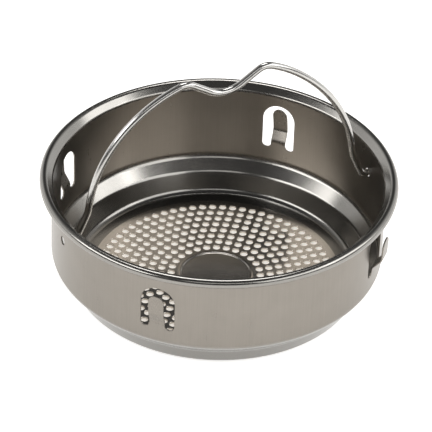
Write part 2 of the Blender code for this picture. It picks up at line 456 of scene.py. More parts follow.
@dataclass(frozen=True)
class DrawnSteel(Steel):
    """Steel of the basket: satin on the wall, and polished by the tool on the rim and the step.

    Attributes:
        polished_colour: Colour of the rim, the step and the base.
        polished_roughness: Roughness of the same places.
        wall_foot: Height where the satin wall begins.
        wall_head: Height where it ends.
    """

    polished_colour: Colour = (0.29, 0.28, 0.262)
    polished_roughness: float = 0.19
    wall_foot: float = 0.0
    wall_head: float = 0.0

    POLISHED_RANGE = 0.2
    BAND_SHADE_BELOW = (5.5 * MM, 2.5 * MM)
    EDGE = 0.6 * MM

    def tone(self, tree: Tree, place: Value, light: Value) -> Value:
        """Return the colour: warm on the satin wall, plain beyond it, and darkened by painted shade on
        the base's band.

        Args:
            tree: The material's tree.
            place: Place on the piece.
            light: Small changes, from 0 to 1.

        Returns:
            The colour.
        """
        # painted shade: the plain colour darkens towards the bottom, over the lower band that faces down
        # to the floor
        band_shade = tree.axis(place, "Z").ease(*(self.wall_foot - drop for drop in self.BAND_SHADE_BELOW))
        plain = self.shades(tree, light * band_shade, self.polished_colour, self.POLISHED_RANGE)
        return tree.mix(self.satin(tree, place), plain, super().tone(tree, place, light))

    def surface_roughness(self, tree: Tree, place: Value) -> Value:
        """Return the roughness, low beyond both ends of the wall."""
        extra = self.roughness - self.polished_roughness
        return self.satin(tree, place) * extra + self.polished_roughness

    def satin(self, tree: Tree, place: Value) -> Value:
        """Return 1 on the satin wall and 0 beyond its ends.

        Args:
            tree: The material's tree.
            place: Place on the piece.

        Returns:
            The share of satin.
        """
        height = tree.axis(place, "Z")
        above = height.ease(self.wall_head - self.EDGE, self.wall_head + self.EDGE)
        return height.ease(self.wall_foot - self.EDGE, self.wall_foot + self.EDGE) * (1.0 - above)


# --- Sheet metal ---


@dataclass
class CutEdge:
    """A free edge of a flat sheet.

    Attributes:
        line: Where the cut itself runs, one row for each member.
        inward: Unit directions from the cut into the sheet.
        radii: How far each point of the edge is rounded.
        members: Points of the flat sheet along the edge, in order.
    """

    line: np.ndarray
    inward: np.ndarray
    radii: np.ndarray
    members: list[int] = field(default_factory=list)

    @classmethod
    def around(cls, outline: np.ndarray, radii: np.ndarray, hole: bool) -> CutEdge:
        """Describe a closed edge, whose members are still to be numbered.

        Args:
            outline: Where the cut runs, anticlockwise.
            radii: Rounding at each point.
            hole: True where the sheet lies outside the outline.

        Returns:
            The edge with its directions into the sheet.
        """
        behind = outline - np.roll(outline, 1, axis=0)
        ahead = np.roll(outline, -1, axis=0) - outline
        tangent = unit(unit(behind) + unit(ahead))
        left = np.column_stack((-tangent[:, 1], tangent[:, 0]))
        return cls(outline, -left if hole else left, radii)

    def eased(self, share: float = 1.0) -> np.ndarray:
        """Return the flat line that lies a share of the rounding inside the cut."""
        return self.line + self.inward * self.radii[:, None] * share


@dataclass
class FlatSheet:
    """A sheet before it is formed: flat points, the faces between them and its free edges."""

    points: np.ndarray
    faces: Faces = field(default_factory=list)
    edges: list[CutEdge] = field(default_factory=list)

    ROUND_ANGLES = (30.0, 60.0, 90.0)
    PROBE = 0.05 * MM

    def form(
        self, place: Placer, thickness: float, name: str, material: Material
    ) -> Piece:
        """Bend the sheet into shape and give it its thickness and rounded edges.

        Args:
            place: Takes flat points to points and unit normals of the formed middle surface.
            thickness: Thickness of the sheet.
            name: Name of the piece.
            material: Its material.

        Returns:
            The formed piece, with true normals on every point.
        """
        middle, normal = place(self.points)
        half, count = thickness / 2, len(self.points)
        rows = [(middle + normal * half, normal), (middle - normal * half, -normal)]
        faces = self.faces + [tuple(corner + count for corner in reversed(face)) for face in self.faces]
        base = 2 * count
        for edge in self.edges:
            added, walls = self._rounded(edge, place, half, base)
            rows += added
            faces += walls
            base += len(added) * len(edge.line)
        points, normals = (np.vstack(column) for column in zip(*rows))
        used = sorted({corner for face in faces for corner in face})
        number = {old: new for new, old in enumerate(used)}
        mesh = bpy.data.meshes.new(name)
        mesh.from_pydata(points[used].tolist(), [], [tuple(number[i] for i in face) for face in faces])
        attribute = mesh.attributes.new("true_normal", "FLOAT_VECTOR", "POINT")
        attribute.data.foreach_set("vector", normals[used].astype(np.float32).ravel())
        weld(mesh)
        smooth_with(mesh, "true_normal")
        mesh.materials.append(material)
        return link(name, mesh)

    def _rounded(
        self, edge: CutEdge, place: Placer, half: float, base: int
    ) -> tuple[list[Pair], Faces]:
        """Round one edge over from face to face.

        Args:
            edge: The edge.
            place: As form takes it.
            half: Half the sheet's thickness.
            base: Number of the first new point.

        Returns:
            Rows of points with their normals, and the faces that join them to the sheet.
        """
        angles = [math.radians(angle) for angle in self.ROUND_ANGLES]
        turns = [(angle, 1.0) for angle in angles] + [(angle, -1.0) for angle in reversed(angles)]
        outward = unit(place(edge.line)[0] - place(edge.line + edge.inward * self.PROBE)[0])
        radii, count = edge.radii[:, None], len(edge.line)
        rings = [edge.members]
        rows: list[Pair] = []
        for angle, side in turns:
            middle, normal = place(edge.eased(1 - math.sin(angle)))
            lift = side * (half - radii * (1 - math.cos(angle)))
            way = normal * side * math.cos(angle) + outward * math.sin(angle)
            rings.append(list(range(base, base + count)))
            rows.append((middle + normal * lift, way))
            base += count
        rings.append([member + len(self.points) for member in edge.members])
        return rows, [face for pair in zip(rings, rings[1:]) for face in strip(*pair)]


def unit(rows: np.ndarray) -> np.ndarray:
    """Return rows of vectors with a length of 1."""
    return rows / np.linalg.norm(rows, axis=1)[:, None]


def strip(first: Sequence[Any], second: Sequence[Any]) -> list[tuple[Any, ...]]:
    """Return the four-sided faces between two closed rings of points."""
    follow = [*range(1, len(first)), 0]
    return [(first[i], first[j], second[j], second[i]) for i, j in enumerate(follow)]


def weld(mesh: bpy.types.Mesh, distance: float = 0.0005 * MM) -> None:
    """Merge doubles, drop faces without area and turn every face outwards.

    Args:
        mesh: The mesh, which is changed.
        distance: How near doubles lie.
    """
    bm = bmesh.new()
    bm.from_mesh(mesh)
    bmesh.ops.remove_doubles(bm, verts=bm.verts, dist=distance)
    bmesh.ops.dissolve_degenerate(bm, edges=bm.edges, dist=distance)
    bmesh.ops.recalc_face_normals(bm, faces=bm.faces)
    if bm.calc_volume(signed=True) < 0:
        bmesh.ops.reverse_faces(bm, faces=bm.faces)
    bm.to_mesh(mesh)
    bm.free()


def smooth_with(mesh: bpy.types.Mesh, attribute: str) -> None:
    """Shade a mesh smooth with the normals that an attribute of its points holds.

    Args:
        mesh: The mesh, which is changed.
        attribute: Name of the attribute, which is used up.
    """
    flat = np.zeros(3 * len(mesh.vertices), np.float32)
    mesh.attributes[attribute].data.foreach_get("vector", flat)
    mesh.attributes.remove(mesh.attributes[attribute])
    mesh.shade_smooth()
    mesh.normals_split_custom_set_from_vertices(unit(flat.reshape(-1, 3)).tolist())


def smooth_by_angle(piece: Piece, degrees: float) -> Piece:
    """Return a piece welded and shaded smooth, except where it turns by more than an angle.

    Args:
        piece: The piece, which is changed.
        degrees: The angle.

    Returns:
        The same piece.
    """
    weld(piece.data)
    piece.data.shade_smooth()
    piece.data.set_sharp_from_angle(angle=math.radians(degrees))
    return piece


def inside(points: np.ndarray, outline: np.ndarray) -> np.ndarray:
    """Say which flat points lie inside a closed outline.

    Args:
        points: The points, one to a row.
        outline: Corners of the outline in order.

    Returns:
        True or False for each point.
    """
    ahead = np.roll(outline, -1, axis=0)
    px, py = points[:, 0:1], points[:, 1:2]
    crosses = (outline[:, 1] > py) != (ahead[:, 1] > py)
    rise = ahead[:, 1] - outline[:, 1]
    rise = np.where(rise == 0, HAIR, rise)
    at = outline[:, 0] + (py - outline[:, 1]) * (ahead[:, 0] - outline[:, 0]) / rise
    return (crosses & (px < at)).sum(axis=1) % 2 == 1


def distance_to(points: np.ndarray, outline: np.ndarray) -> np.ndarray:
    """Return how far flat points lie from the nearest corner of an outline."""
    gaps = points[:, None, :] - outline[None, :, :]
    return np.sqrt((gaps**2).sum(axis=2)).min(axis=1)


def fill(points: np.ndarray, loop: Sequence[int], within: bool) -> Faces:
    """Fill flat points with triangles that keep the edges of a loop.

    Args:
        points: Flat points.
        loop: Numbers of the points along a closed loop.
        within: True for the triangles inside the loop, False for those outside it.

    Returns:
        Triangles of point numbers.
    """
    edges = [(loop[i - 1], loop[i]) for i in range(len(loop))]
    _, _, faces, origins, _, _ = delaunay_2d_cdt([Vector(p) / MM for p in points], edges, [], 0, 1e-6)
    faces = [tuple(origins[corner][0] for corner in face) for face in faces]
    kept = inside(points[np.array(faces)].mean(axis=1), points[loop]) == within
    return [face for face, keep in zip(faces, kept) if keep]


def arc(centre: Flat, radius: float, start: float, end: float, step: float) -> list[Flat]:
    """Return the points of an arc between two angles, both in degrees, ends included.

    Args:
        centre: Centre of the arc.
        radius: Its radius.
        start: Angle of its first point.
        end: Angle of its last point.
        step: Largest angle between points.

    Returns:
        The points in order.
    """
    count = max(1, math.ceil(abs(end - start) / step))
    angles = [math.radians(start + (end - start) * index / count) for index in range(count + 1)]
    return [(centre[0] + radius * math.cos(a), centre[1] + radius * math.sin(a)) for a in angles]


def spread(start: Flat, end: Flat, spacing: float) -> list[Flat]:
    """Return evenly spaced points on a line, both ends left out.

    Args:
        start: One end.
        end: The other end.
        spacing: Largest distance between points.

    Returns:
        The points in order.
    """
    first, last = np.array(start), np.array(end)
    count = max(1, math.ceil(float(np.linalg.norm(last - first)) / spacing))
    return [tuple(first + (last - first) * index / count) for index in range(1, count)]


@dataclass
class Bend:
    """A line of straight runs and tangent arcs, with the normal on its left at every point."""

    arc_step: float = 6.0
    run_step: float = 1.0 * MM

    def through(self, corners: Sequence[tuple[Vector, float]]) -> Pair:
        """Walk through corners, each a point and the radius that rounds it.

        Args:
            corners: Points and radii in order; the first and the last radius are not used.

        Returns:
            The points and the unit normals on the left of the way.
        """
        here, last = corners[0][0], corners[-1][0]
        heading = (corners[1][0] - here).normalized()
        way: list[tuple[Vector, Vector]] = []
        for (corner, radius), (following, _) in zip(corners[1:], corners[2:]):
            outgoing = (following - corner).normalized()
            turn = math.atan2(heading.x * outgoing.y - heading.y * outgoing.x, heading.dot(outgoing))
            reach = radius * math.tan(abs(turn) / 2)
            start = corner - heading * reach
            left = Vector((-heading.y, heading.x))
            way += self._run(here, start, left)
            side = math.copysign(1.0, turn)
            centre = start + left * side * radius
            count = max(1, math.ceil(math.degrees(abs(turn)) / self.arc_step))
            for index in range(count):
                normal = Matrix.Rotation(turn * index / count, 2) @ left
                way.append((centre - normal * side * radius, normal))
            here, heading = corner + outgoing * reach, outgoing
        left = Vector((-heading.y, heading.x))
        way += [*self._run(here, last, left), (last, left)]
        points, normals = (np.array([tuple(item) for item in column]) for column in zip(*way))
        return points, normals

    def _run(self, start: Vector, end: Vector, left: Vector) -> list[tuple[Vector, Vector]]:
        """Return the points of a straight run with their normals, its end left out."""
        count = max(1, math.ceil((end - start).length / self.run_step))
        return [(start.lerp(end, index / count), left) for index in range(count)]


class Profile:
    """A line of radius and height, with normals, that a sheet follows round the axis."""

    def __init__(self, line: np.ndarray, normals: np.ndarray) -> None:
        """Measure the way along the line.

        Args:
            line: Points as (radius, height).
            normals: Unit normals at the points.
        """
        steps = np.linalg.norm(np.diff(line, axis=0), axis=1)
        self.line = line
        self.normals = normals
        self.along = np.concatenate(([0.0], np.cumsum(steps)))

    def turned(self, flat: np.ndarray, azimuth: float = 0.0, girth: float | None = None) -> Pair:
        """Take flat points to the surface that the line draws as it turns.

        Args:
            flat: Points as (sideways, way along the line).
            azimuth: Where sideways is counted from, in radians.
            girth: Radius at which sideways is true to size; None means each point's own.

        Returns:
            Points and normals of the surface.
        """
        columns = (*self.line.T, *self.normals.T)
        radius, height, out, up = (np.interp(flat[:, 1], self.along, column) for column in columns)
        angle = azimuth + flat[:, 0] / (girth or radius)
        cosine, sine = np.cos(angle), np.sin(angle)
        middle = np.column_stack((radius * cosine, radius * sine, height))
        return middle, np.column_stack((out * cosine, out * sine, up))


# --- Pieces ---


@dataclass(frozen=True)
class WindowFit:
    """How far one window and its tongue, punched by hand, stray from the pattern.

    Attributes:
        turn: Turn about the axis, in degrees.
        rise: Shift of the window upwards.
        growth: How much taller the window is.
        give: How much further out the tongue is bent.
        reach: How much longer the tongue is.
        lean: Sideways shift of the tongue's tip.
    """

    turn: float = 0.0
    rise: float = 0.0
    growth: float = 0.0
    give: float = 0.0
    reach: float = 0.0
    lean: float = 0.0


@dataclass
class Basket:
    """The drawn sheet: rolled rim, wall with windows and handle holes, conical step, base.

    Attributes:
        rim_radius: Outer radius of the rolled rim.
        height: Height of the basket.
        sheet: Thickness of the sheet.
        panel_radius: Where the perforated floor panel begins.
        pivot_height: Height of the handle's holes.
        root_height: Height of the tongues' hinge line.
    """

    rim_radius: float
    height: float
    sheet: float
    panel_radius: float
    pivot_height: float
    root_height: float
    overhang: float = 3.7 * MM
    curl_radius: float = 1.45 * MM
    curl_start: float = -128.0
    curl_end: float = 135.0
    flare_fillet: float = 1.2 * MM
    step_width: float = 3.95 * MM
    step_fillet: float = 3.5 * MM
    lip_fillet: float = 3.0 * MM
    band_height: float = 6.65 * MM
    band_taper: float = 26.0
    base_fillet: float = 2.75 * MM
    window_width: float = 10.75 * MM
    window_height: float = 15.8 * MM
    window_drop: float = 0.3 * MM
    tongue_width: float = 4.85 * MM
    seam_rise: float = 1.3 * MM
    pivot_hole: float = 1.4 * MM
    edge_round: float = 0.12 * MM
    seam_round: float = 0.03 * MM
    flare_drop: float = 2.2 * MM
    columns: int = 240

    CURL_ROUND = 0.4
    CLEARANCE = 0.35 * MM
    LEG_STEP = 0.3 * MM
    SIDE_STEP = 0.8 * MM
    SEAM_STEP = 0.6 * MM

    @property
    def wall_middle(self) -> float:
        """Radius of the middle of the wall's sheet."""
        return self.rim_radius - self.overhang - self.sheet / 2

    @property
    def step_top(self) -> float:
        """Height where the wall turns into the step."""
        return self.band_height + self.step_width

    @property
    def wall_top(self) -> float:
        """Height where the wall flares into the rim."""
        return self.height - self.flare_drop

    @property
    def window_foot(self) -> float:
        """Height of the lowest point of a window."""
        return self.root_height - self.window_drop

    @property
    def seam_height(self) -> float:
        """Height where a tongue leaves the wall's own sheet."""
        return self.root_height + self.seam_rise

    def profile(self) -> Profile:
        """Return radius and height along the sheet, from the curl's end to the floor.

        Returns:
            The profile.
        """
        tube = self.curl_radius - self.sheet / 2
        centre = (self.rim_radius - self.curl_radius, self.height - self.curl_radius)
        *curl, joint = arc(centre, tube, self.curl_start, self.curl_end, 8.0)
        inward = unit(np.array(centre) - np.array(curl))
        start = Vector(joint)
        fall = (start.x - self.wall_middle) * math.tan(math.radians(self.curl_end - 90))
        lip = self.wall_middle - self.step_width
        base = lip - (self.band_height - self.sheet / 2) * math.tan(math.radians(self.band_taper))
        corners = [
            (start, 0.0),
            (Vector((self.wall_middle, start.y - fall)), self.flare_fillet),
            (Vector((self.wall_middle, self.step_top)), self.step_fillet),
            (Vector((lip, self.band_height)), self.lip_fillet),
            (Vector((base, self.sheet / 2)), self.base_fillet),
            (Vector((self.panel_radius, self.sheet / 2)), 0.0),
        ]
        points, normals = Bend().through(corners)
        return Profile(np.vstack((curl, points)), np.vstack((inward, normals)))

    def window_outline(self, fit: WindowFit) -> Pair:
        """Return a window's cut and its rounding.

        The seam with the tongue is the short straight edge between the two legs.

        Args:
            fit: How this window strays from the pattern.

        Returns:
            The points, anticlockwise, as (sideways, height), and the radius at each.
        """
        half, inner = self.window_width / 2, self.tongue_width / 2
        leg = (half - inner) / 2
        foot = self.window_foot + fit.rise + leg
        spring = self.window_foot + fit.rise + self.window_height + fit.growth - half
        seam = self.seam_height + fit.rise
        right = [(inner, seam), *spread((inner, seam), (inner, foot), self.LEG_STEP)]
        right += arc((inner + leg, foot), leg, 180.0, 360.0, 15.0)
        right += spread((half, foot), (half, spring), self.SIDE_STEP)
        right += arc((0.0, spring), half, 0.0, 90.0, 5.0)
        left = [(-x, y) for x, y in right[-2::-1]]
        outline = np.array(right + left + spread(left[-1], right[0], self.SEAM_STEP))
        on_seam = (outline[:, 1] > seam - HAIR) & (np.abs(outline[:, 0]) < inner + HAIR)
        return outline, np.where(on_seam, self.seam_round, self.edge_round)

    def bore_outline(self) -> Pair:
        """Return the cut of one handle hole and its rounding."""
        outline = np.array(arc((0.0, self.pivot_height), self.pivot_hole, 0.0, 360.0, 12.0)[:-1])
        return outline, np.full(len(outline), self.edge_round)

    def build(
        self, azimuths: Sequence[float], fits: Sequence[WindowFit], material: Material
    ) -> Piece:
        """Form the basket.

        Args:
            azimuths: Where the windows are, in radians.
            fits: How each window strays from the pattern.
            material: Its material.

        Returns:
            The piece.
        """
        profile = self.profile()
        on_wall = np.argmin(np.abs(profile.line[:, 1] - self.pivot_height))
        zero = profile.along[on_wall] + profile.line[on_wall, 1]
        openings = [
            (azimuth + math.radians(fit.turn), *self.window_outline(fit))
            for azimuth, fit in zip(azimuths, fits)
        ]
        openings += [(azimuth, *self.bore_outline()) for azimuth in (0.0, math.pi)]
        cuts = []
        for azimuth, outline, radii in openings:
            sideways = azimuth * self.wall_middle + outline[:, 0]
            line = np.column_stack((sideways, zero - outline[:, 1]))
            cuts.append(CutEdge.around(line[::-1], radii[::-1], hole=True))

        def place(flat: np.ndarray) -> Pair:
            """Turn the sheet about the axis, with sideways true to size on the wall."""
            return profile.turned(flat, girth=self.wall_middle)

        return self._blank(profile.along, cuts).form(place, self.sheet, "basket_shell", material)

    def _blank(self, along: np.ndarray, cuts: Sequence[CutEdge]) -> FlatSheet:
        """Lay the grid of the whole sheet and cut the windows and holes into it.

        Args:
            along: The ways along the centre line where the grid has a row.
            cuts: Edges of the windows and holes.

        Returns:
            The flat sheet.
        """
        pitch, columns = TURN * self.wall_middle / self.columns, range(self.columns)
        rows = [[row * self.columns + column for column in columns] for row in range(len(along))]
        sheet = FlatSheet(np.array([(column * pitch, way) for way in along for column in columns]))
        taken = np.zeros((len(rows) - 1, self.columns), bool)
        for cut in cuts:
            self._cut(sheet, cut, along, pitch, taken)
        for first, second, gone in zip(rows, rows[1:], taken):
            sheet.faces += [face for face, hole in zip(strip(first, second), gone) if not hole]
        ends = ((rows[0], 1.0, self.sheet * self.CURL_ROUND), (rows[-1], -1.0, self.seam_round))
        for row, direction, radius in ends:
            inward = np.tile((0.0, direction), (self.columns, 1))
            edge = CutEdge(sheet.points[row], inward, np.full(self.columns, radius), row)
            sheet.edges.append(edge)
        return sheet

    def _cut(
        self, sheet: FlatSheet, cut: CutEdge, along: np.ndarray, pitch: float, taken: np.ndarray
    ) -> None:
        """Cut one opening into the grid.

        Args:
            sheet: The sheet, which gains the opening's points, edge and the faces round it.
            cut: Edge of the opening.
            along: The ways along the centre line where the grid has a row.
            pitch: Distance between the grid's columns.
            taken: Which cells of the grid have lost their own face, marked here.
        """
        rim = cut.eased()
        cut.members = list(range(len(sheet.points), len(sheet.points) + len(rim)))
        low, high = rim.min(axis=0), rim.max(axis=0)
        left, right = math.floor(low[0] / pitch) - 1, math.ceil(high[0] / pitch) + 1
        top, foot = int(np.searchsorted(along, low[1])) - 2, int(np.searchsorted(along, high[1])) + 1
        block = [(row, column) for row in range(top, foot + 1) for column in range(left, right + 1)]
        places = np.array([(column * pitch, along[row]) for row, column in block])
        border = np.array([row in (top, foot) or column in (left, right) for row, column in block])
        clear = ~inside(places, rim) & (distance_to(places, rim) > self.CLEARANCE)
        kept = clear | border
        numbers = [row * self.columns + column % self.columns for row, column in block]
        numbers = [number for number, keep in zip(numbers, kept) if keep] + cut.members
        loop = list(range(len(numbers) - len(rim), len(numbers)))
        for face in fill(np.vstack((places[kept], rim)), loop, within=False):
            sheet.faces.append(tuple(numbers[corner] for corner in face))
        taken[top:foot, [column % self.columns for column in range(left, right)]] = True
        sheet.points = np.vstack((sheet.points, rim))
        sheet.edges.append(cut)


@dataclass
class Tongue:
    """One spring tongue, bent outwards from the wall between the legs of its window."""

    basket: Basket
    azimuth: float
    fit: WindowFit
    joggle: float = 2.6 * MM
    flare: float = 0.35 * MM
    bend_height: float = 18.5 * MM
    ramp: float = 3.5 * MM
    tip_height: float = 29.2 * MM
    bend_radius: float = 2.0 * MM
    grid: float = 0.5 * MM

    CLEARANCE = 0.3 * MM

    def profile(self) -> Profile:
        """Return radius and height along the tongue, from its root to its tip.

        Returns:
            The profile.
        """
        out, rise = self.joggle + self.fit.give, self.fit.rise
        corners = [
            (Vector((0.0, self.basket.seam_height + rise)), 0.0),
            (Vector((0.0, self.bend_height + rise)), self.bend_radius),
            (Vector((out, self.bend_height + self.ramp + rise)), self.bend_radius),
            (Vector((out + self.flare, self.tip_height + rise + self.fit.reach)), 0.0),
        ]
        offsets, normals = Bend(run_step=self.grid).through(corners)
        return Profile(offsets + (self.basket.wall_middle, 0.0), -normals)

    def build(self, name: str, material: Material) -> Piece:
        """Form the tongue.

        Args:
            name: Name of the piece.
            material: Its material.

        Returns:
            The piece.
        """
        profile = self.profile()
        length = profile.along[-1]

        def place(flat: np.ndarray) -> Pair:
            """Lean the tongue over and turn it to its azimuth."""
            lean = self.fit.lean * (flat[:, 1] / length) ** 2
            return profile.turned(flat + np.outer(lean, (1.0, 0.0)), self.azimuth)

        return self._blank(length).form(place, self.basket.sheet, name, material)

    def _blank(self, length: float) -> FlatSheet:
        """Cut the flat tongue: straight sides, a round tip, and a plain seam at the root.

        Args:
            length: Length of the tongue along its middle.

        Returns:
            The flat sheet.
        """
        half = self.basket.tongue_width / 2
        root, spring = [(-half, 0.0), (half, 0.0)], length - half
        points = [root[0], *spread(*root, self.basket.SEAM_STEP), root[1]]
        points += spread(root[1], (half, spring), self.grid)
        points += arc((0.0, spring), half, 0.0, 180.0, 7.5)
        points += spread((-half, spring), root[0], self.grid)
        outline = np.array(points)
        radii = np.where(outline[:, 1] < HAIR, self.basket.seam_round, self.basket.edge_round)
        edge = CutEdge.around(outline, radii, hole=False)
        rim = edge.eased()
        edge.members = list(range(len(rim)))
        across, up = np.arange(-half, half, self.grid), np.arange(self.grid / 2, length, self.grid)
        grid = np.array([(x, y) for y in up for x in across])
        clear = inside(grid, rim) & (distance_to(grid, rim) > self.CLEARANCE)
        sheet = np.vstack((rim, grid[clear]))
        return FlatSheet(sheet, fill(sheet, edge.members, within=True), [edge])


@dataclass
class FloorPanel:
    """The flat perforated floor with a low embossed circle round its plain centre."""

    radius: float
    sheet: float
    hole_radius: float = 1.2 * MM
    first_ring: float = 13.93 * MM
    pitch: float = 3.125 * MM
    rings: int = 8
    first_count: int = 28
    added: int = 6
    start_line: float = math.radians(53.0)
    plain_radius: float = 12.3 * MM
    emboss_radius: float = 11.1 * MM
    emboss_width: float = 1.0 * MM
    emboss_height: float = 0.22 * MM
    chamfer: float = 0.05 * MM
    hole_sides: int = 16
    columns: int = 180

    EMBOSS_STEPS = 8
    SHARP_ANGLE = 32.0

    def blank(self) -> Piece:
        """Return the embossed centre and the outer edge, which the perforated ring joins up.

        Returns:
            The open mesh as an object.
        """
        section = self._section()
        edge = [(self.radius, self.sheet), (self.radius, 0.0)]
        angles = [TURN * column / self.columns for column in range(self.columns)]
        bm = bmesh.new()
        for line, lift, capped in ((section, self.sheet, True), (section, 0.0, True), (edge, 0.0, False)):
            rings = [
                [bm.verts.new((radius * math.cos(a), radius * math.sin(a), rise + lift)) for a in angles]
                for radius, rise in line
            ]
            for pair in zip(rings, rings[1:]):
                for face in strip(*pair):
                    bm.faces.new(face)
            if capped:
                bm.faces.new(rings[0])
        mesh = bpy.data.meshes.new("floor_blank")
        bm.to_mesh(mesh)
        bm.free()
        return link("floor_blank", mesh)

    def _section(self) -> list[tuple[float, float]]:
        """Follow the embossed floor from the centre disc to the perforations.

        Returns:
            Points as (radius, rise above the plain floor).
        """
        half = self.emboss_width / 2
        section = [(self.emboss_radius - 1.5 * half, 0.0)]
        for share in np.linspace(-1.0, 1.0, self.EMBOSS_STEPS + 1):
            rise = self.emboss_height * (1 + math.cos(math.pi * share)) / 2
            section.append((self.emboss_radius + half * share, rise))
        return [*section, (self.plain_radius, 0.0)]

    def build(self, material: Material) -> Piece:
        """Perforate the panel.

        Args:
            material: Its material.

        Returns:
            The piece.
        """
        sizes = {
            "First Ring Radius": self.first_ring,
            "Ring Pitch": self.pitch,
            "First Ring Holes": self.first_count,
            "Holes Added": self.added,
            "Hole Count": sum(self.first_count + self.added * ring for ring in range(self.rings)),
            "Start Line": self.start_line,
            "Hole Radius": self.hole_radius,
            "Hole Sides": self.hole_sides,
            "Chamfer": self.chamfer,
            "Sheet": self.sheet,
            "Plain Radius": self.plain_radius,
            "Panel Radius": self.radius,
            "Columns": self.columns,
        }
        recipe = Recipe("perforations", sizes, material)
        places = self._places(recipe)
        bore, sheet, chamfer = (recipe[name] for name in ("Hole Radius", "Sheet", "Chamfer"))
        mouth, depth = bore + chamfer, sheet - chamfer
        recipe.serve(
            recipe.joined(
                recipe["Geometry"],
                self._perforated_ring(recipe, places, mouth, sheet),
                self._perforated_ring(recipe, places, bore, 0.0),
                self._bore_walls(recipe, places, (bore, bore), 0.0, depth),
                self._bore_walls(recipe, places, (bore, mouth), depth, chamfer),
            )
        )
        return smooth_by_angle(recipe.make(self.blank(), "floor_panel"), self.SHARP_ANGLE)

    @staticmethod
    def _places(recipe: Recipe) -> tuple[Value, Value]:
        """Return a point for every hole and its turn, all rings starting on one line.

        Args:
            recipe: The tree that makes the floor.

        Returns:
            The points and the rotation of each.
        """
        first, added = recipe["First Ring Holes"], recipe["Holes Added"]
        number = recipe.add("GeometryNodeInputIndex")
        lead = first - added / 2
        # half a hole keeps each ring's first hole above the whole number that names the ring
        ring = (((lead * lead + 2 * added * number + 0.5) ** 0.5 - lead) / added).floor()
        before = ring * first + added * ring * (ring - 1) / 2
        angle = recipe["Start Line"] + TURN * (number - before) / (first + added * ring)
        radius = recipe["First Ring Radius"] + recipe["Ring Pitch"] * ring
        across = {"X": radius * angle.math("COSINE"), "Y": radius * angle.math("SINE")}
        place = recipe.add("ShaderNodeCombineXYZ", inputs=across)
        dots = recipe.add("GeometryNodePoints", inputs={"Count": recipe["Hole Count"], "Position": place})
        return dots, recipe.add("ShaderNodeCombineXYZ", inputs={"Z": angle})

    @staticmethod
    def _perforated_ring(
        recipe: Recipe, places: tuple[Value, Value], hole_radius: Value, height: Value | float
    ) -> Value:
        """Return the flat ring between the plain centre and the edge, open at every hole.

        Args:
            recipe: The tree that makes the floor.
            places: Points and turns of the holes.
            hole_radius: Radius of the holes in this face.
            height: Height of the face.

        Returns:
            The ring.
        """
        holes = recipe.placed(recipe.circle(recipe["Hole Sides"], hole_radius), *places)
        outlines = recipe.joined(
            recipe.add("GeometryNodeRealizeInstances", inputs={"Geometry": holes}),
            recipe.circle(recipe["Columns"], recipe["Plain Radius"]),
            recipe.circle(recipe["Columns"], recipe["Panel Radius"]),
        )
        return recipe.lifted(recipe.add("GeometryNodeFillCurve", inputs={"Curve": outlines}), height)

    @staticmethod
    def _bore_walls(
        recipe: Recipe,
        places: tuple[Value, Value],
        radii: tuple[Value, Value],
        foot: Value | float,
        depth: Value,
    ) -> Value:
        """Return an open cone at every hole, with radii below and above, from a height up by a depth.

        Args:
            recipe: The tree that makes the floor.
            places: Points and turns of the holes.
            radii: Radii of the cone at its foot and head.
            foot: Height of its foot.
            depth: Its height.

        Returns:
            The cones.
        """
        sizes = {"Radius Bottom": radii[0], "Radius Top": radii[1], "Depth": depth}
        sizes["Vertices"] = recipe["Hole Sides"]
        cone = recipe.add("GeometryNodeMeshCone", {"fill_type": "NONE"}, sizes)
        return recipe.placed(recipe.lifted(cone, foot), *places)


